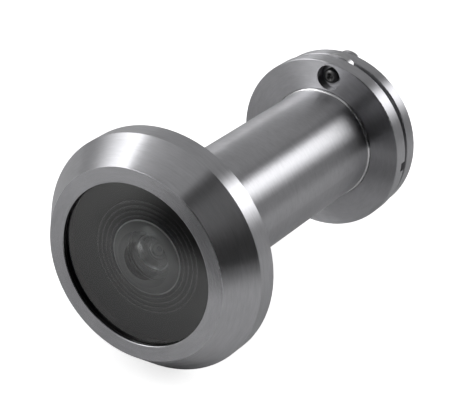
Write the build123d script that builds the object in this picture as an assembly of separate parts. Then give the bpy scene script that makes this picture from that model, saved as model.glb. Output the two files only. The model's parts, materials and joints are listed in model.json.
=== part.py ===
from build123d import *
import math
import os

# Door viewer for a 14 mm hole, in millimetres.
# The viewing axis is Y: the bezel and its lens face -Y (outdoors), the flange and
# its swing cover face +Y (indoors). +Z is up. The origin is on the viewing axis, in
# the plane where the bezel's back seats on the outer face of the door.

# Outer part: bezel and barrel
BARREL_R = 7.0  # fits a 14 mm hole
GRIP_MIN = 34.0  # bezel seat to flange seat, screwed fully together
BEZEL_R = 14.05
BEZEL_DEPTH = 6.1  # seat to the front lip
BEZEL_RIM = 2.52  # straight rim behind the chamfer
LIP_OUTER_R = 11.44
LIP_INNER_R = 9.6
LIP_THICK = 0.4
POCKET_R = 10.2  # bored out from the back of the bezel
HEAD_THICK = 1.6  # barrel head, pressed into the pocket
CELL_R = 5.4  # lens cell, the front stretch of the barrel's bore
CELL_END = 6.9
THREAD_R = 6.05  # running bore that the tube's thread turns in

# Objective lenses and what holds them
GASKET_THICK = 0.15
FRONT_LENS_R = 10.1
FRONT_LENS_THICK = 3.45
FRONT_HOLLOW_R = 4.4
FRONT_HOLLOW_DEPTH = 2.4
RIDGE_COUNT = 4
RIDGE_PITCH = 0.55
RIDGE_DEPTH = 0.15
CELL_LENS_R = 5.35
SECOND_LENS_THICK = 2.0
SECOND_HOLLOW_R = 2.9
SECOND_HOLLOW_DEPTH = 1.2
SPACER_LENGTH = 2.3
SPACER_BORE_R = 3.0
THIRD_LENS_THICK = 2.2
THIRD_HOLLOW_R = 4.2
THIRD_HOLLOW_DEPTH = 0.7
RETAINER_LENGTH = 1.3
RETAINER_BORE_R = 3.7

# Inner part: flange, threaded tube and eyepiece
FLANGE_R = 10.99
FLANGE_THICK = 2.05
TUBE_R = 5.98
TUBE_FRONT = 8.0
TUBE_SOCKET = 1.1  # depth of the tube's seat in the flange
TUBE_BORE_R = 4.6
EYE_BORE_R = 4.95
EYE_BORE_START = 29.8
STOP_LENGTH = 1.0
STOP_BORE_R = 3.2
EYE_LENS_R = 4.9
EYE_LENS_EDGE = 1.1
EYE_CROWN_R = 4.1
EYE_CROWN_BOW = 0.8
EYE_GASKET_THICK = 0.4
EYE_GASKET_BORE_R = 4.2
EYE_RETAINER_LENGTH = 1.5
EYE_RETAINER_BORE_R = 3.9
EYE_HOLE_R = 4.0
EYE_HOLE_MOUTH_R = 5.0
COIN_SLOT_WIDTH = 1.15
COIN_SLOT_DEPTH = 0.9
KEY_SLOT_WIDTH = 0.8
KEY_SLOT_DEPTH = 0.6

# Slip washer between the barrel's end and the flange
WASHER_R = 7.2  # a little proud of the barrel, so that its edge shows
WASHER_THICK = 0.6
WASHER_SEAT_R = 7.25
WASHER_SEAT_DEPTH = 0.3

# Swing cover and its pivot
COVER_R = 10.8
COVER_THICK = 1.77
COVER_GAP = 0.95  # flange to cover
PIVOT_Z = 9.0
SHANK_R = 0.7
COVER_HOLE_R = 0.75
COUNTERBORE_R = 1.6
COUNTERBORE_DEPTH = 1.25
TAIL_R = 1.0
TAIL_HEIGHT = 0.95
SPACER_DISC_R = 2.3
SPRING_WASHER_R = 1.85
SPRING_WASHER_THICK = 0.2
RIVET_HEAD_R = 1.95
RIVET_HEAD_HEIGHT = 0.85

# Small working values
SOFT_EDGE = 0.12
CHAMFER_EDGE = 0.25
RUN_GAP = 0.03  # end play of the turning pieces
CELL_GAP = 0.05

# Places along the viewing axis, worked out from the sizes above
LIP_FRONT_Y = -BEZEL_DEPTH
LIP_BACK_Y = LIP_FRONT_Y + LIP_THICK
FRONT_LENS_Y = LIP_BACK_Y + GASKET_THICK
FRONT_LENS_BACK_Y = FRONT_LENS_Y + FRONT_LENS_THICK
HEAD_Y = -HEAD_THICK
SECOND_LENS_Y = HEAD_Y + CELL_GAP
SECOND_LENS_BACK_Y = SECOND_LENS_Y + SECOND_LENS_THICK
THIRD_LENS_Y = SECOND_LENS_BACK_Y + SPACER_LENGTH
THIRD_LENS_BACK_Y = THIRD_LENS_Y + THIRD_LENS_THICK
FLANGE_Y = GRIP_MIN
FLANGE_BACK_Y = FLANGE_Y + FLANGE_THICK
WASHER_Y = FLANGE_Y + WASHER_SEAT_DEPTH - WASHER_THICK
BARREL_END_Y = WASHER_Y
TUBE_END_Y = FLANGE_Y + TUBE_SOCKET
EYE_LENS_Y = EYE_BORE_START
EYE_LENS_BACK_Y = EYE_LENS_Y + EYE_LENS_EDGE
EYE_GASKET_BACK_Y = EYE_LENS_BACK_Y + EYE_GASKET_THICK
COVER_Y = FLANGE_BACK_Y + COVER_GAP
COVER_BACK_Y = COVER_Y + COVER_THICK


def turned(points):
    """A body of revolution about the viewing axis from (radius, y) corners."""
    return revolve(make_face(Polyline(*points, close=True)), Axis.Y, 360)


def ring(outer_r, inner_r, y0, y1):
    """A plain ring on the viewing axis."""
    return turned([(inner_r, y0), (outer_r, y0), (outer_r, y1), (inner_r, y1)])


def at_pivot(solid):
    """Moves a solid from the viewing axis to the cover's pivot."""
    return Pos(0, 0, PIVOT_Z) * solid


def dome_arc(rim_r, y, bow):
    """The arc from the axis to the rim of a spherical surface whose crown is bow past y."""
    sphere_r = (rim_r**2 + bow**2) / (2 * abs(bow))
    half = math.sqrt(sphere_r**2 - (rim_r / 2) ** 2) - (sphere_r - abs(bow))
    return ThreePointArc((0, y + bow), (rim_r / 2, y + math.copysign(half, bow)), (rim_r, y))


def lens(radius, curve_r, front_y, back_y, front_bow, back_bow):
    """A lens whose curved zones reach curve_r, with flat lands outside them.

    A bow is how far along +Y a face's crown lies from its land; 0 is a flat face.
    """
    if front_bow:
        front = [dome_arc(curve_r, front_y, front_bow), Line((curve_r, front_y), (radius, front_y))]
    else:
        front = [Line((0, front_y), (radius, front_y))]
    edge = Line((radius, front_y), (radius, back_y))
    back = [Line((radius, back_y), (curve_r, back_y)), dome_arc(curve_r, back_y, back_bow)]
    core = Line((0, back_y + back_bow), (0, front_y + front_bow))
    return revolve(make_face([*front, edge, *back, core]), Axis.Y, 360)


def circles_of(solid, radius, y):
    """The circular edges of a radius about Y whose centre lies in plane y."""
    found = []
    for edge in solid.edges().filter_by(GeomType.CIRCLE):
        if abs(edge.radius - radius) < 1e-4 and abs(edge.arc_center.Y - y) < 1e-4:
            found.append(edge)
    return found


def key_slots(solid, y, depth):
    """Cuts the two slots of a pin spanner across the ring's face at y."""
    across = 4 * EYE_BORE_R
    return solid - Pos(0, y, 0) * Box(across, 2 * depth, KEY_SLOT_WIDTH)


def outer_bezel():
    """Chamfered cap whose lip traps the front lens from outside."""
    cap = turned([
        (LIP_INNER_R, LIP_FRONT_Y),
        (LIP_OUTER_R, LIP_FRONT_Y),
        (BEZEL_R, -BEZEL_RIM),
        (BEZEL_R, 0),
        (POCKET_R, 0),
        (POCKET_R, LIP_BACK_Y),
        (LIP_INNER_R, LIP_BACK_Y),
    ])
    edges = circles_of(cap, LIP_OUTER_R, LIP_FRONT_Y)
    edges += circles_of(cap, BEZEL_R, -BEZEL_RIM)
    edges += circles_of(cap, BEZEL_R, 0)
    edges += circles_of(cap, LIP_INNER_R, LIP_FRONT_Y)
    return fillet(edges, SOFT_EDGE)


def lens_gasket():
    """Rubber ring between the lip and the front lens."""
    return ring(FRONT_LENS_R, LIP_INNER_R + CELL_GAP, LIP_BACK_Y, FRONT_LENS_Y)


def front_lens():
    """Flat-fronted glass with a deep hollow in its back: the wide-angle element."""
    return lens(
        FRONT_LENS_R, FRONT_HOLLOW_R, FRONT_LENS_Y, FRONT_LENS_BACK_Y, 0, -FRONT_HOLLOW_DEPTH
    )


def lens_surround():
    """Black ring behind the front lens, with anti-glare ridges round the hollow."""
    disc = ring(FRONT_LENS_R, FRONT_HOLLOW_R, FRONT_LENS_BACK_Y, HEAD_Y)
    for step in range(RIDGE_COUNT):
        inner = FRONT_HOLLOW_R + RIDGE_PITCH * (step + 0.35)
        groove = turned([
            (inner, FRONT_LENS_BACK_Y),
            (inner + RIDGE_PITCH * 0.65, FRONT_LENS_BACK_Y),
            (inner, FRONT_LENS_BACK_Y + RIDGE_DEPTH),
        ])
        disc -= groove
    return disc


def outer_barrel():
    """Smooth tube with a pressed head at the front and the thread's bore behind."""
    barrel = turned([
        (CELL_R, HEAD_Y),
        (POCKET_R, HEAD_Y),
        (POCKET_R, 0),
        (BARREL_R, 0),
        (BARREL_R, BARREL_END_Y),
        (THREAD_R, BARREL_END_Y),
        (THREAD_R, CELL_END),
        (CELL_R, CELL_END),
    ])
    return fillet(circles_of(barrel, BARREL_R, BARREL_END_Y), SOFT_EDGE)


def second_lens():
    """Smaller hollow-backed glass in the lens cell."""
    return lens(
        CELL_LENS_R, SECOND_HOLLOW_R, SECOND_LENS_Y, SECOND_LENS_BACK_Y, 0, -SECOND_HOLLOW_DEPTH
    )


def lens_spacer():
    """Ring that holds the second and third lenses apart."""
    return ring(CELL_LENS_R, SPACER_BORE_R, SECOND_LENS_BACK_Y, THIRD_LENS_Y)


def third_lens():
    """Glass hollowed on both faces, the last of the objective."""
    front = THIRD_LENS_Y
    back = THIRD_LENS_BACK_Y
    return lens(CELL_LENS_R, THIRD_HOLLOW_R, front, back, THIRD_HOLLOW_DEPTH, -THIRD_HOLLOW_DEPTH)


def lens_retainer():
    """Slotted ring screwed up behind the objective."""
    end = THIRD_LENS_BACK_Y + RETAINER_LENGTH
    plain = ring(CELL_LENS_R, RETAINER_BORE_R, THIRD_LENS_BACK_Y, end)
    return key_slots(plain, end, KEY_SLOT_DEPTH)


def slip_washer():
    """Thin washer that rides with the flange and lets it turn on the barrel's end."""
    return ring(WASHER_R, THREAD_R, WASHER_Y, WASHER_Y + WASHER_THICK)


def inner_flange():
    """Disc that seats on the indoor face of the door, with the coin slot in its back."""
    disc = turned([
        (WASHER_SEAT_R, FLANGE_Y),
        (FLANGE_R, FLANGE_Y),
        (FLANGE_R, FLANGE_BACK_Y),
        (EYE_HOLE_MOUTH_R, FLANGE_BACK_Y),
        (EYE_HOLE_R, TUBE_END_Y),
        (TUBE_R, TUBE_END_Y),
        (TUBE_R, FLANGE_Y + WASHER_SEAT_DEPTH),
        (WASHER_SEAT_R, FLANGE_Y + WASHER_SEAT_DEPTH),
    ])
    edges = circles_of(disc, FLANGE_R, FLANGE_Y)
    edges += circles_of(disc, FLANGE_R, FLANGE_BACK_Y)
    disc = fillet(edges, SOFT_EDGE)
    floor_y = FLANGE_Y + COUNTERBORE_DEPTH
    disc -= at_pivot(turned([
        (0, FLANGE_Y - 1),
        (COUNTERBORE_R, FLANGE_Y - 1),
        (COUNTERBORE_R, floor_y),
        (SHANK_R, floor_y),
        (SHANK_R, FLANGE_BACK_Y + 1),
        (0, FLANGE_BACK_Y + 1),
    ]))
    slot = Box(3 * FLANGE_R, 2 * COIN_SLOT_DEPTH, COIN_SLOT_WIDTH)
    return disc - Pos(0, FLANGE_BACK_Y, 0) * slot


def threaded_tube():
    """Tube that screws into the barrel; its thread is held as the crest cylinder."""
    tube = turned([
        (TUBE_BORE_R, TUBE_FRONT),
        (TUBE_R, TUBE_FRONT),
        (TUBE_R, TUBE_END_Y),
        (EYE_BORE_R, TUBE_END_Y),
        (EYE_BORE_R, EYE_BORE_START),
        (TUBE_BORE_R, EYE_BORE_START),
    ])
    return chamfer(circles_of(tube, TUBE_R, TUBE_FRONT), CHAMFER_EDGE)


def light_stop():
    """Black ring in the tube's front end that trims stray light."""
    return ring(TUBE_BORE_R, STOP_BORE_R, TUBE_FRONT, TUBE_FRONT + STOP_LENGTH)


def eyepiece_lens():
    """Glass bowed on both faces that the eye looks through."""
    return lens(EYE_LENS_R, EYE_CROWN_R, EYE_LENS_Y, EYE_LENS_BACK_Y, -EYE_CROWN_BOW, EYE_CROWN_BOW)


def eyepiece_gasket():
    """Soft ring that beds the eyepiece lens."""
    return ring(EYE_LENS_R, EYE_GASKET_BORE_R, EYE_LENS_BACK_Y, EYE_GASKET_BACK_Y)


def eyepiece_retainer():
    """Slotted ring screwed in behind the eyepiece lens."""
    end = EYE_GASKET_BACK_Y + EYE_RETAINER_LENGTH
    plain = ring(EYE_LENS_R, EYE_RETAINER_BORE_R, EYE_GASKET_BACK_Y, end)
    return key_slots(plain, end, KEY_SLOT_DEPTH)


def pivot_rivet():
    """Rivet with a domed head over the cover and a domed tail in the counterbore."""
    tail_y = FLANGE_Y + COUNTERBORE_DEPTH
    head_y = COVER_BACK_Y + RUN_GAP + SPRING_WASHER_THICK
    shank = turned([(0, tail_y), (SHANK_R, tail_y), (SHANK_R, head_y), (0, head_y)])
    tail = lens_cap(TAIL_R, tail_y, -TAIL_HEIGHT)
    head = lens_cap(RIVET_HEAD_R, head_y, RIVET_HEAD_HEIGHT)
    return at_pivot(shank + tail + head)


def lens_cap(radius, y, height):
    """A button: a short cylinder under a dome, standing from y by height."""
    land = y + 0.35 * height
    profile = [
        Line((0, y), (radius, y)),
        Line((radius, y), (radius, land)),
        dome_arc(radius, land, 0.65 * height),
        Line((0, y + height), (0, y)),
    ]
    return revolve(make_face(profile), Axis.Y, 360)


def pivot_spacer():
    """Disc that holds the cover off the flange; it stands proud of both rims."""
    return at_pivot(ring(SPACER_DISC_R, SHANK_R, FLANGE_BACK_Y, COVER_Y - RUN_GAP))


def spring_washer():
    """Washer under the rivet head that gives the cover its drag."""
    start = COVER_BACK_Y + RUN_GAP
    return at_pivot(ring(SPRING_WASHER_R, SHANK_R, start, start + SPRING_WASHER_THICK))


def swing_cover():
    """Disc that hangs over the eyepiece and swings about the rivet."""
    disc = turned([(0, COVER_Y), (COVER_R, COVER_Y), (COVER_R, COVER_BACK_Y), (0, COVER_BACK_Y)])
    edges = circles_of(disc, COVER_R, COVER_Y) + circles_of(disc, COVER_R, COVER_BACK_Y)
    disc = fillet(edges, SOFT_EDGE)
    hole = turned([
        (0, COVER_Y - 1),
        (COVER_HOLE_R, COVER_Y - 1),
        (COVER_HOLE_R, COVER_BACK_Y + 1),
        (0, COVER_BACK_Y + 1),
    ])
    return disc - at_pivot(hole)


PIECES = [
    outer_bezel,
    lens_gasket,
    front_lens,
    lens_surround,
    outer_barrel,
    second_lens,
    lens_spacer,
    third_lens,
    lens_retainer,
    slip_washer,
    inner_flange,
    threaded_tube,
    light_stop,
    eyepiece_lens,
    eyepiece_gasket,
    eyepiece_retainer,
    pivot_rivet,
    pivot_spacer,
    spring_washer,
    swing_cover,
]

os.makedirs("parts", exist_ok=True)
for make in PIECES:
    node = make()
    node.label = make.__name__
    export_step(node, f"parts/{make.__name__}.step")
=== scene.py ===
import json
import math

import bmesh
import bpy
from mathutils import Matrix, Vector


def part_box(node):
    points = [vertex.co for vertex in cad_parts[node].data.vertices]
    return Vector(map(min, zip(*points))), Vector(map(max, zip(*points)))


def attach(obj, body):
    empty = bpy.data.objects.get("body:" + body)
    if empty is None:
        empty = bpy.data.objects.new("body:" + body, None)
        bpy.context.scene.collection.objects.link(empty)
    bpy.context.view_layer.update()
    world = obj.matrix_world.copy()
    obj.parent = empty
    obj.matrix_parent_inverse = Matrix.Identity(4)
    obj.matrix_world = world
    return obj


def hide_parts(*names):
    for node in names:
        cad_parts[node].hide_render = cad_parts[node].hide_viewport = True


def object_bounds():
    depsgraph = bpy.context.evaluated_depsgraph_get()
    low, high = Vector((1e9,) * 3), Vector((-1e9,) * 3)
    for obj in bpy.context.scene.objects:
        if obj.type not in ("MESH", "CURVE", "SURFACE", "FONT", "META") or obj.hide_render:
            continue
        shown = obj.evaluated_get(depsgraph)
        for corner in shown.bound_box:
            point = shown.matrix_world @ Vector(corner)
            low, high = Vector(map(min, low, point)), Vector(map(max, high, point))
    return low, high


# Door viewer. Units are metres in the row frame: +Y runs indoors along the viewing
# axis, +Z is up through the swing cover's pivot, and the origin is on the axis where
# the bezel seats on the door. Outlines are written in mm.

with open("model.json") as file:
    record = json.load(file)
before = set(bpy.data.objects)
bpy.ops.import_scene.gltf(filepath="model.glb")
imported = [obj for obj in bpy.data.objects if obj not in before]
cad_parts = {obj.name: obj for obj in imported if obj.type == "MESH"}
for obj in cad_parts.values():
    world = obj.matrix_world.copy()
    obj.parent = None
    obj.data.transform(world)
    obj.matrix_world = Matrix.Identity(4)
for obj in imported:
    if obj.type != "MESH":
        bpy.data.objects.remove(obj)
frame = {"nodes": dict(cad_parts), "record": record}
cad_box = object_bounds()
nodes = frame["nodes"]

MM = 0.001


# ---------------------------------------------------------------- camera

CAMERA_PLACE = (89.46, -142.35, 97.63)  # mm
CAMERA_AIM = (-0.94, 14.99, -2.16)  # mm
CAMERA_ROLL = 6.22  # degrees
CAMERA_LENS = 137.2  # mm, on a sensor of SENSOR_WIDTH
SENSOR_WIDTH = 36.0  # mm
CLIP_START, CLIP_END = 0.01, 20.0  # m


def make_camera():
    place = Vector(CAMERA_PLACE) * MM
    aim = Vector(CAMERA_AIM) * MM
    data = bpy.data.cameras.new("camera")
    data.sensor_fit = "HORIZONTAL"
    data.sensor_width = SENSOR_WIDTH
    data.lens = CAMERA_LENS
    data.clip_start = CLIP_START
    data.clip_end = CLIP_END
    camera = bpy.data.objects.new("camera", data)
    bpy.context.scene.collection.objects.link(camera)
    look = (aim - place).to_track_quat("-Z", "Y").to_matrix().to_4x4()
    roll = Matrix.Rotation(math.radians(CAMERA_ROLL), 4, "Z")
    camera.matrix_world = Matrix.Translation(place) @ look @ roll
    bpy.context.scene.camera = camera


make_camera()


# ---------------------------------------------------------------- node helpers

# places of a Mix node's colour sockets, whose names it also gives to other sockets
MIX_COLOUR_A, MIX_COLOUR_B, MIX_COLOUR_OUT = 6, 7, 2


class Nodes:
    """Short calls for building a node tree."""

    def __init__(self, tree):
        self.tree = tree
        tree.nodes.clear()

    def add(self, kind, **settings):
        node = self.tree.nodes.new(kind)
        for key, value in settings.items():
            setattr(node, key, value)
        return node

    def link(self, source, target):
        self.tree.links.new(source, target)

    def put(self, socket, value):
        """A socket takes a constant, or a link from another node's socket."""
        if isinstance(value, bpy.types.NodeSocket):
            self.link(value, socket)
        else:
            socket.default_value = value

    def math(self, operation, *values):
        node = self.add("ShaderNodeMath", operation=operation)
        for socket, value in zip(node.inputs, values):
            self.put(socket, value)
        return node.outputs[0]

    def weigh(self, first, first_share, second, second_share):
        """Two values added up by their shares."""
        return self.math(
            "ADD",
            self.math("MULTIPLY", first, first_share),
            self.math("MULTIPLY", second, second_share),
        )

    def remap(self, value, low, high, to_low, to_high, kind="LINEAR"):
        """A value moved from the range low to high into the range to_low to to_high, and held there."""
        node = self.add("ShaderNodeMapRange", interpolation_type=kind)
        for name, v in zip(
            ("Value", "From Min", "From Max", "To Min", "To Max"),
            (value, low, high, to_low, to_high),
        ):
            self.put(node.inputs[name], v)
        return node.outputs[0]

    def soft_step(self, value, low, high, to_low=0.0, to_high=1.0):
        """As remap, but easing in and out."""
        return self.remap(value, low, high, to_low, to_high, "SMOOTHSTEP")

    def xyz(self, x, y, z):
        node = self.add("ShaderNodeCombineXYZ")
        for socket, value in zip(node.inputs, (x, y, z)):
            self.put(socket, value)
        return node.outputs[0]

    def noise(self, vector, scale, detail, rough):
        node = self.add("ShaderNodeTexNoise")
        self.link(vector, node.inputs["Vector"])
        node.inputs["Scale"].default_value = scale
        node.inputs["Detail"].default_value = detail
        node.inputs["Roughness"].default_value = rough
        return node.outputs["Fac"]

    def where(self):
        """A point of the object, in its own coordinates in metres."""
        return self.add("ShaderNodeTexCoord").outputs["Object"]

    def split(self, vector):
        """The x, y and z of a vector."""
        node = self.add("ShaderNodeSeparateXYZ")
        self.link(vector, node.inputs[0])
        return node.outputs

    def tint(self, value, low, high):
        """A colour between low and high by value. Each is three numbers, or a node's socket."""
        mix = self.add("ShaderNodeMix", data_type="RGBA")
        self.put(mix.inputs["Factor"], value)
        for place, colour in ((MIX_COLOUR_A, low), (MIX_COLOUR_B, high)):
            if not isinstance(colour, bpy.types.NodeSocket):
                colour = (*colour, 1)
            self.put(mix.inputs[place], colour)
        return mix.outputs[MIX_COLOUR_OUT]

    def relief(self, height, strength, distance):
        """A surface normal that follows a height."""
        node = self.add("ShaderNodeBump")
        node.inputs["Strength"].default_value = strength
        node.inputs["Distance"].default_value = distance
        self.link(height, node.inputs["Height"])
        return node.outputs[0]


def new_material(name):
    material = bpy.data.materials.new(name)
    material.use_nodes = True
    tree = Nodes(material.node_tree)
    shader = tree.add("ShaderNodeBsdfPrincipled")
    output = tree.add("ShaderNodeOutputMaterial")
    tree.link(shader.outputs[0], output.inputs["Surface"])
    return material, tree, shader


def shades(colour, darkest, lightest):
    """The darkest and the lightest shade of a colour."""
    return tuple(c * darkest for c in colour), tuple(min(1.0, c * lightest) for c in colour)


def round_axis(tree):
    """Radius, distance along the axis and turn about it, of a point of the object, in mm and radians."""
    x, y, z = (tree.math("MULTIPLY", value, 1 / MM) for value in tree.split(tree.where()))
    squares = tree.math("ADD", tree.math("MULTIPLY", x, x), tree.math("MULTIPLY", z, z))
    return tree.math("SQRT", squares), y, tree.math("ARCTAN2", x, z)


# ---------------------------------------------------------------- materials

# turned lines: how many per mm across them, and how fast they change along them
FINE_LINES = (7.0, 9.0)
BROAD_LINES = (2.2, 5.0)
LINE_DETAIL, LINE_NOISE_ROUGHNESS = 2.0, 0.6
LINE_DEPTH = 0.00006  # m
# what each pattern adds to the metal's tone
FINE_SHARE, BROAD_SHARE = 0.45, 0.55
LINE_SHARE, BLOTCH_SHARE = 0.7, 0.3

# the patterns' noise, by scale per metre, detail and roughness
BLOTCHES = (260.0, 2.0, 0.5)
GRAIN = (2500.0, 3.0, 0.6)
HAZE = (900.0, 3.0, 0.6)
GRAIN_DEPTH = 0.00002  # m

METAL_SHADES = (0.66, 1.34)  # times the metal's colour
METAL_TONES = (0.35, 0.65)  # the tones between which its roughness changes
METAL_UNEVEN = (0.94, 1.06)  # times its roughness
QUARTER_TURN = 0.25  # lays the wide side of the blur across the lines

# where a lip's finishes give way to the next, in mm past its front or past its bore
FRONT_ENDS = (-0.02, 0.04)
BORE_BLACK_ENDS = (0.0, 0.01)
BURNISHED_ENDS = (0.11, 0.13)
LIP_METALLIC = 0.8
# colour of the bore inside a lip: near-black, and not metallic
BORE_NEAR_BLACK = (0.012, 0.012, 0.013)
BURNISHED_ROUGHNESS = 0.12

BLACK_SHADES = (0.8, 1.25)
BLACK_TONES = (0.3, 0.7)
BLACK_UNEVEN = 0.08  # more or less than its roughness

GLASS_SHADES = ((0.93, 0.95, 0.95), (0.98, 0.99, 0.99))
GLASS_TONES = (0.3, 0.7)
GLASS_ROUGHNESS = (0.0, 0.004)
GLASS_IOR, COAT_IOR = 1.52, 1.6


def turned_lines(tree, across, round_x, round_z, density, change):
    """Noise drawn out into lines round the axis."""
    space = tree.xyz(
        tree.math("MULTIPLY", across, density),
        tree.math("MULTIPLY", round_x, change),
        tree.math("MULTIPLY", round_z, change),
    )
    return tree.noise(space, 1.0, LINE_DETAIL, LINE_NOISE_ROUGHNESS)


def turned_metal(name, colour, rough, brushing, grain=1.0, lip=None):
    """Metal finished on a lathe: fine lines run round the axis, and blur reflections across them.

    brushing is the strength of the lines' relief, and grain how one-sided their blur is.
    lip is (y, roughness, bore): where a finer flat front lies, how rough it is, and the
    radius inside which its bore is coloured near-black, whose edge is burnished. y and bore are in mm.
    """
    material, tree, shader = new_material(name)
    radius, along, turn = round_axis(tree)
    # across the lines the pattern changes fast, and along them, round the axis, slowly
    across = tree.math("ADD", radius, along)
    round_x = tree.math("COSINE", turn)
    round_z = tree.math("SINE", turn)
    fine = turned_lines(tree, across, round_x, round_z, *FINE_LINES)
    broad = turned_lines(tree, across, round_x, round_z, *BROAD_LINES)
    lines = tree.weigh(fine, FINE_SHARE, broad, BROAD_SHARE)
    blotches = tree.noise(tree.where(), *BLOTCHES)
    tone = tree.weigh(lines, LINE_SHARE, blotches, BLOTCH_SHARE)
    paint = tree.tint(tone, *shades(colour, *METAL_SHADES))
    base = rough
    metallic = 1.0
    if lip:
        front_y, front_rough, bore = lip
        front_ends = [front_y + past for past in FRONT_ENDS]
        bore_black_ends = [bore + past for past in BORE_BLACK_ENDS]
        burnished_ends = [bore + past for past in BURNISHED_ENDS]
        base = tree.remap(along, *front_ends, front_rough, base)
        # inside the bore the colour is near-black and the surface not metallic
        past_bore = tree.remap(radius, *bore_black_ends, 0.0, 1.0)
        past_edge = tree.remap(radius, *burnished_ends, 0.0, 1.0)
        base = tree.remap(past_edge, 0.0, 1.0, BURNISHED_ROUGHNESS, base)
        paint = tree.tint(past_bore, BORE_NEAR_BLACK, paint)
        metallic = tree.math("MULTIPLY", past_bore, tree.remap(along, *front_ends, LIP_METALLIC, 1.0))
    tree.put(shader.inputs["Metallic"], metallic)
    tree.link(paint, shader.inputs["Base Color"])
    uneven = tree.remap(tone, *METAL_TONES, *METAL_UNEVEN)
    tree.link(tree.math("MULTIPLY", uneven, base), shader.inputs["Roughness"])
    shader.inputs["Anisotropic"].default_value = grain
    shader.inputs["Anisotropic Rotation"].default_value = QUARTER_TURN
    tangent = tree.add("ShaderNodeTangent", direction_type="RADIAL", axis="Y")
    tree.link(tangent.outputs[0], shader.inputs["Tangent"])
    tree.link(tree.relief(lines, brushing, LINE_DEPTH), shader.inputs["Normal"])
    return material


def black_matt(name, colour, rough, relief=0.3, gloss=0.5):
    """Black paint, plastic or rubber with a fine grain. gloss is its specular level."""
    material, tree, shader = new_material(name)
    grain = tree.noise(tree.where(), *GRAIN)
    tree.link(tree.tint(grain, *shades(colour, *BLACK_SHADES)), shader.inputs["Base Color"])
    uneven = tree.remap(grain, *BLACK_TONES, rough - BLACK_UNEVEN, rough + BLACK_UNEVEN)
    tree.link(uneven, shader.inputs["Roughness"])
    shader.inputs["Specular IOR Level"].default_value = gloss
    tree.link(tree.relief(grain, relief, GRAIN_DEPTH), shader.inputs["Normal"])
    return material


def clear_glass(name, transmission=1.0, coat=0.0):
    """Polished glass, or at a lower transmission glass with a hazed or ground surface."""
    material, tree, shader = new_material(name)
    haze = tree.noise(tree.where(), *HAZE)
    tree.link(tree.tint(haze, *GLASS_SHADES), shader.inputs["Base Color"])
    tree.link(tree.remap(haze, *GLASS_TONES, *GLASS_ROUGHNESS), shader.inputs["Roughness"])
    shader.inputs["Transmission Weight"].default_value = transmission
    shader.inputs["Coat Weight"].default_value = coat
    shader.inputs["Coat IOR"].default_value = COAT_IOR
    shader.inputs["IOR"].default_value = GLASS_IOR
    return material


STEEL = (0.468, 0.468, 0.486)
satin_steel = turned_metal("satin_steel", STEEL, 0.35, 0.3)
bezel_steel = turned_metal("bezel_steel", STEEL, 0.295, 0.25, lip=(-6.06, 0.2, 9.605))
bright_steel = turned_metal("bright_steel", (0.52, 0.52, 0.53), 0.295, 0.3)
washer_steel = turned_metal("washer_steel", (0.7, 0.7, 0.71), 0.25, 0.1)
plated_brass = turned_metal("plated_brass", (0.58, 0.56, 0.52), 0.295, 0.3)
# the head's steel made darker: painted shade for the tail down in its counterbore
rivet_tail_painted_shade = turned_metal("rivet_tail_painted_shade", (0.1, 0.1, 0.1), 0.3, 0.1, grain=0.0)
rivet_bright = turned_metal("rivet_bright", (0.5, 0.5, 0.51), 0.3, 0.1, grain=0.0)
black_metal = black_matt("black_metal", (0.03, 0.03, 0.032), 0.45)
black_plastic = black_matt("black_plastic", (0.006, 0.006, 0.0065), 0.35, relief=0.05, gloss=0.2)
black_rubber = black_matt("black_rubber", (0.02, 0.02, 0.02), 0.7)
lens_glass = clear_glass("lens_glass")
coated_glass = clear_glass("coated_glass", coat=1.0)
hazed_glass = clear_glass("hazed_glass", transmission=0.7)
faint_haze_glass = clear_glass("faint_haze_glass", transmission=0.78)
ground_glass = clear_glass("ground_glass", transmission=0.15)

FINISH = {
    "satin_steel": satin_steel,
    "bright_steel": bright_steel,
    "plated_brass": plated_brass,
    "black_metal": black_metal,
    "black_plastic": black_plastic,
    "black_rubber": black_rubber,
    "lens_glass": lens_glass,
}
for part in frame["record"]["subparts"]:
    mesh = nodes[part["node"]].data
    mesh.materials.clear()
    mesh.materials.append(FINISH[part["material_slot"]])
nodes["outer_bezel"].data.materials[0] = bezel_steel


# ---------------------------------------------------------------- turned pieces

SHARP_ANGLE = 25  # degrees, from which an edge is drawn sharp
ON_AXIS = 1e-6  # mm, under which a radius is a single point
MERGE = 1e-7  # m, under which two points of the tube are one


def span(node):
    """Front and back of a CAD node along the viewing axis, in mm."""
    low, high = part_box(node)
    return low[1] / MM, high[1] / MM


def add_piece(name, work, finishes, body, replaced):
    """Makes a piece of a finished bmesh, with its materials and body, and hides the CAD node it stands
    for.
    """
    bmesh.ops.recalc_face_normals(work, faces=work.faces)
    mesh = bpy.data.meshes.new(name)
    work.to_mesh(mesh)
    work.free()
    mesh.shade_smooth()
    mesh.set_sharp_from_angle(angle=math.radians(SHARP_ANGLE))
    for finish in finishes:
        mesh.materials.append(finish)
    piece = bpy.data.objects.new(name, mesh)
    bpy.context.scene.collection.objects.link(piece)
    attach(piece, body)
    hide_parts(replaced)


def turned_vert(work, radius, y, step, steps, centre_z=0.0):
    """A point at a radius and y in mm, turned by step / steps from +Z toward +X.

    It turns about an axis along Y, centre_z mm above the viewing axis.
    """
    turn = 2 * math.pi * step / steps
    x = radius * math.sin(turn)
    z = radius * math.cos(turn) + centre_z
    return work.verts.new((x * MM, y * MM, z * MM))


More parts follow.
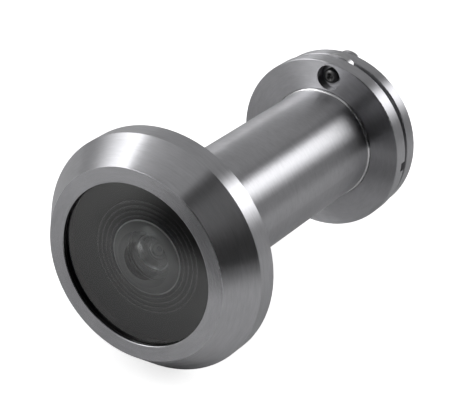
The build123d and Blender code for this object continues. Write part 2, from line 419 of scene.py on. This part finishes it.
def turned(name, profile, finishes, body, replaced, steps=240, centre_z=0.0):
    """A piece of revolution from a closed outline of (radius, y) in mm.

    A third value is the number of the finish from that point to the next; 0 if left out.
    """
    work = bmesh.new()
    rows = []
    for radius, y, *_ in profile:
        if radius < ON_AXIS:
            rows.append([turned_vert(work, 0, y, 0, steps, centre_z)] * steps)
        else:
            rows.append([turned_vert(work, radius, y, step, steps, centre_z) for step in range(steps)])
    for point, first, second in zip(profile, rows, rows[1:] + rows[:1]):
        for step in range(steps):
            after = (step + 1) % steps
            corners = []
            for vert in (first[step], first[after], second[after], second[step]):
                if vert not in corners:
                    corners.append(vert)
            if len(corners) > 2:
                work.faces.new(corners).material_index = point[2] if len(point) > 2 else 0
    add_piece(name, work, finishes, body, replaced)


def bow(curve_r, y, height, finish=0, count=40):
    """Points of a spherical cap from its rim at y to its crown, height past y."""
    ball = (curve_r**2 + height**2) / (2 * abs(height))
    sign = math.copysign(1.0, height)
    points = []
    for step in range(count + 1):
        radius = curve_r * (1 - step / count)
        rise = math.sqrt(ball**2 - radius**2) - (ball - abs(height))
        points.append((radius, y + sign * rise, finish))
    return points


CLEAR, HAZED, GROUND, INKED, COATED, FAINT = range(6)
GLASS = [lens_glass, hazed_glass, ground_glass, black_plastic, coated_glass, faint_haze_glass]
BED = 0.06  # mm that the wide-angle glass beds into the ring behind, so that nothing shines between
GROUND_BEVEL = 0.12  # mm along the axis that the ground bevel runs, from a lens's back to its hollow


def make_front_lens():
    """The wide-angle glass: coated flat front, inked edge, hollow hazed toward its ground rim."""
    front, back = span("front_lens")
    edge_r, rim_r = 10.08, 4.48
    hollow_r, hollow_depth = 4.3, 2.26
    hazed_past, faint_past = 3.4, 2.3
    outline = [(0, front, COATED), (edge_r, front, INKED)]
    outline += [(edge_r, back + BED), (rim_r, back + BED, GROUND)]
    for radius, y, _ in bow(hollow_r, back - GROUND_BEVEL, -hollow_depth):
        if radius > hazed_past:
            zone = HAZED
        elif radius > faint_past:
            zone = FAINT
        else:
            zone = CLEAR
        outline.append((radius, y, zone))
    turned("front_lens_glass", outline, GLASS, "outer", "front_lens")


def make_surround():
    """Black ring behind the glass, with shallow rounded anti-glare ridges."""
    front, back = span("lens_surround")
    inner_r, eased_r, outer_r = 4.42, 4.47, 10.05
    ridges, first_r, last_r, depth = 4, 4.6, 6.9, 0.07
    samples = ridges * 12
    outline = [(inner_r, back), (inner_r, front + 0.1), (eased_r, front + 0.01)]
    for step in range(samples + 1):
        radius = first_r + (last_r - first_r) * step / samples
        dip = depth * (0.5 - 0.5 * math.cos(2 * math.pi * ridges * step / samples))
        outline.append((radius, front + dip))
    outline += [(outer_r, front), (outer_r, back)]
    turned("lens_surround_ring", outline, [black_plastic], "outer", "lens_surround")


CELL_R = 5.33  # mm, outer radius of the second lens and the spacer behind it


def make_second_lens():
    """Second lens, with a bevelled front edge and a ground bevel round its hollow back."""
    front, back = span("second_lens")
    face_r, rim_r = 5.2, 3.15
    hollow_r, hollow_depth = 2.85, 1.05
    outline = [(0, front), (face_r, front), (CELL_R, front + 0.13), (CELL_R, back), (rim_r, back, GROUND)]
    outline += bow(hollow_r, back - GROUND_BEVEL, -hollow_depth)
    turned("second_lens_glass", outline, GLASS, "outer", "second_lens")


def make_spacer():
    """Black ring between the second and third lenses, with anti-glare grooves in its front."""
    front, back = span("lens_spacer")
    hole_r, gap = 3.02, 0.02
    grooves, spacing, depth = 4, 0.5, 0.14
    inner_r, bottom_r, outer_r = 3.3, 3.36, 3.52
    outline = [(hole_r, back - gap), (hole_r, front + gap)]
    for groove in range(grooves):
        shift = spacing * groove
        outline += [(inner_r + shift, front + gap), (bottom_r + shift, front + depth)]
        outline += [(outer_r + shift, front + gap)]
    outline += [(CELL_R, front + gap), (CELL_R, back - gap)]
    turned("lens_spacer_ring", outline, [black_metal], "outer", "lens_spacer")


def make_slip_washer():
    """Slip washer between the barrel and the flange; its rounded outer edge stands proud of the barrel."""
    front, back = span("slip_washer")
    hole_r, outer_r, gap = 6.07, 7.19, 0.01
    edge_r, centre_r, centre_y = 0.24, 6.95, front + 0.25
    samples = 8
    outline = [(hole_r, front + gap), (centre_r, front + gap)]
    for step in range(samples + 1):
        lean = math.pi / 2 * step / samples
        outline.append((centre_r + edge_r * math.sin(lean), centre_y - edge_r * math.cos(lean)))
    outline += [(outer_r, back - gap), (hole_r, back - gap)]
    turned("slip_washer_ring", outline, [washer_steel], "washer", "slip_washer")


def make_rivet():
    """Pivot rivet: swaged tail with a dimple in the counterbore, darkened as painted shade, and a bright
    domed head outside.
    """
    tail, head = span("pivot_rivet")
    floor_y, cap_y = tail + 0.95, head - 0.85
    shank_r, cap_r, dome_r = 0.68, 1.93, 1.86
    # finish numbers: the tail's is painted shade, the head's is its plain steel
    dark, bright = 0, 1
    # radius, and distance from the tail's end, from the bottom of the dimple outward
    swaged = [(0, 0.42), (0.16, 0.36), (0.34, 0.14), (0.46, 0.02)]
    swaged += [(0.6, 0.01), (0.82, 0.12), (0.95, 0.34), (0.98, 0.6)]
    outline = [(radius, tail + rise, dark) for radius, rise in swaged]
    outline += [(0.98, floor_y, dark), (shank_r, floor_y, bright), (shank_r, cap_y, bright)]
    outline += [(cap_r, cap_y, bright), (cap_r, cap_y + 0.24, bright)]
    outline += bow(dome_r, cap_y + 0.32, 0.52, bright, 16)
    turned("pivot_rivet_piece", outline, [rivet_tail_painted_shade, rivet_bright], "inner",
           "pivot_rivet", steps=72, centre_z=9.0)


def make_tube():
    """Tube with its real right-hand thread, a turn to a millimetre, which shows when screwed out."""
    front, back = span("threaded_tube")
    pitch, crest, root = 1.0, 5.96, 5.42
    start, end = front + 0.3, back - 2.4
    bore_r, eyepiece_r, eyepiece_y = 4.6, 4.95, 29.8
    # how far the thread stands up from root to crest, over one pitch
    shape = [0.0, 0.0, 0.35, 0.8, 1.0, 1.0, 0.8, 0.35]
    per_turn, steps = len(shape), 96
    work = bmesh.new()
    thread_rows = int((end - start) / pitch) * per_turn + per_turn
    grid = []
    for row in range(thread_rows + 1):
        line = []
        for step in range(steps + 1):
            y = start + pitch * (row / per_turn + step / steps - 1)
            radius = root + (crest - root) * shape[row % per_turn]
            if y <= start or y >= end:
                y = min(max(y, start), end)
                radius = root
            line.append(turned_vert(work, radius, y, step, steps))
        grid.append(line)
    for lower, upper in zip(grid, grid[1:]):
        for step in range(steps):
            work.faces.new((lower[step], lower[step + 1], upper[step + 1], upper[step]))
    # from the thread's end round the back, through the bore and back to the thread's start
    plain = [(root, end), (crest, end + 0.3), (crest, back), (eyepiece_r, back)]
    plain += [(eyepiece_r, eyepiece_y), (bore_r, eyepiece_y), (bore_r, front)]
    plain += [(5.2, front), (root, front + 0.22), (root, start)]
    rings = []
    for radius, y in plain:
        rings.append([turned_vert(work, radius, y, step, steps) for step in range(steps)])
    for lower, upper in zip(rings, rings[1:]):
        for step in range(steps):
            after = (step + 1) % steps
            work.faces.new((lower[step], lower[after], upper[after], upper[step]))
    bmesh.ops.remove_doubles(work, verts=work.verts, dist=MERGE)
    add_piece("threaded_tube_piece", work, [plated_brass], "inner", "threaded_tube")


make_front_lens()
make_surround()
make_second_lens()
make_spacer()
make_slip_washer()
make_rivet()
make_tube()


# ---------------------------------------------------------------- studio

# Directions are given by their turn about the viewing axis, from +Z toward +X, and by
# their lift from the plane across that axis toward +Y, both in degrees. A patch has four
# edges in turn and four in lift, and a strength.
STUDIO_LEVEL = 0.54
PATCHES = [
    ((18, 38, 45, 77), (14, 30, 85, 90), 4.6),  # strong light, up to the right and behind
    ((-84, -52, -47, -40), (-70, -55, -6, 12), 4.1),  # strong light, up to the left and in front
    ((-108, -94, -68, -60), (28, 42, 89, 90), -0.45),  # darker wall, to the left and behind
    ((70, 85, 130, 150), (20, 40, 89, 90), 0.16),  # paler wall, to the right and behind
]
SHADE = ((11, 17, 130, 170), (-91, -90, 4, 16), 0.97)  # takes this share of the light, right and in front
MAP_SIZE = 1024  # pixels of the world's brightness map, which light is sampled by

# The floor's sizes are in metres. A pair gives where a change starts and where it is complete.
FLOOR_HALF = 3.0
ROOM_IN_FRONT = (-0.027, -0.035)  # along Y
ROOM_RIGHT_OF = (-0.026, -0.016)  # along X
# painted shadow round the bezel's foot, which only reflections see: its middle along Y, its edges from
# there, and how dark it is
FOOT_SHADOW_Y = 0.004
FOOT_SHADOW_EDGES = (0.006, 0.014)  # from the middle of the foot
FOOT_SHADOW_DARKNESS = 0.95
FLOOR_PALE = (0.8, 0.8, 0.8)
FLOOR_DARK = (0.04, 0.04, 0.04)
FLOOR_GLOW = 0.72  # only the camera sees it; it turns the lit floor white


def plateau(tree, value, edges):
    """1 between the middle two edges, falling softly to 0 at the outer two."""
    rise = tree.soft_step(value, edges[0], edges[1])
    fall = tree.soft_step(value, edges[2], edges[3], 1.0, 0.0)
    return tree.math("MULTIPLY", rise, fall)


def make_world():
    """White behind the object; to reflections, a soft grey studio with lights and a dark shade."""
    world = bpy.data.worlds.new("studio")
    bpy.context.scene.world = world
    world.use_nodes = True
    tree = Nodes(world.node_tree)
    path = tree.add("ShaderNodeLightPath")
    x, y, z = tree.split(tree.add("ShaderNodeTexCoord").outputs["Generated"])
    turn = tree.math("DEGREES", tree.math("ARCTAN2", x, z))
    lift = tree.math("DEGREES", tree.math("ARCSINE", y))

    def patch(turn_edges, lift_edges, strength):
        both = tree.math("MULTIPLY", plateau(tree, turn, turn_edges), plateau(tree, lift, lift_edges))
        return tree.math("MULTIPLY", both, strength)

    level = STUDIO_LEVEL
    for light in PATCHES:
        level = tree.math("ADD", level, patch(*light))
    level = tree.math("MULTIPLY", level, tree.math("SUBTRACT", 1.0, patch(*SHADE)))
    studio = tree.add("ShaderNodeBackground")
    tree.link(level, studio.inputs["Strength"])
    white = tree.add("ShaderNodeBackground")
    white.inputs["Color"].default_value = (1, 1, 1, 1)
    white.inputs["Strength"].default_value = 1.0
    mix = tree.add("ShaderNodeMixShader")
    tree.link(path.outputs["Is Camera Ray"], mix.inputs[0])
    tree.link(studio.outputs[0], mix.inputs[1])
    tree.link(white.outputs[0], mix.inputs[2])
    output = tree.add("ShaderNodeOutputWorld")
    tree.link(mix.outputs[0], output.inputs["Surface"])
    world.cycles.sampling_method = "MANUAL"
    world.cycles.sample_map_resolution = MAP_SIZE


def make_floor():
    """Pale floor under the bezel's foot.

    The camera doesn't see its dark parts, but the object reflects them: the room in front,
    except at the far left, and a painted contact shadow under the foot.
    """
    size, drop = FLOOR_HALF, cad_box[0].z
    mesh = bpy.data.meshes.new("floor")
    corners = [(-size, -size, drop), (size, -size, drop), (size, size, drop), (-size, size, drop)]
    mesh.from_pydata(corners, [], [(0, 1, 2, 3)])
    floor = bpy.data.objects.new("floor", mesh)
    bpy.context.scene.collection.objects.link(floor)
    material, tree, shader = new_material("floor")
    shader.inputs["Roughness"].default_value = 0.9
    shader.inputs["Specular IOR Level"].default_value = 0.0
    seen = tree.add("ShaderNodeLightPath").outputs["Is Camera Ray"]
    x, y, _ = tree.split(tree.where())
    room = tree.math("MULTIPLY", tree.soft_step(y, *ROOM_IN_FRONT), tree.soft_step(x, *ROOM_RIGHT_OF))
    # painted contact shadow under the foot, seen only in reflections
    foot = tree.add("ShaderNodeVectorMath", operation="DISTANCE")
    tree.link(tree.where(), foot.inputs[0])
    foot.inputs[1].default_value = (0.0, FOOT_SHADOW_Y, drop)
    under = tree.soft_step(foot.outputs["Value"], *FOOT_SHADOW_EDGES, FOOT_SHADOW_DARKNESS, 0.0)
    shaded = tree.math("MAXIMUM", room, under)
    dark = tree.math("MULTIPLY", shaded, tree.math("SUBTRACT", 1.0, seen))
    tree.link(tree.tint(dark, FLOOR_PALE, FLOOR_DARK), shader.inputs["Base Color"])
    shader.inputs["Emission Color"].default_value = (1, 1, 1, 1)
    tree.link(tree.math("MULTIPLY", seen, FLOOR_GLOW), shader.inputs["Emission Strength"])
    mesh.materials.append(material)


make_world()
make_floor()
bpy.context.scene.view_settings.view_transform = "Standard"
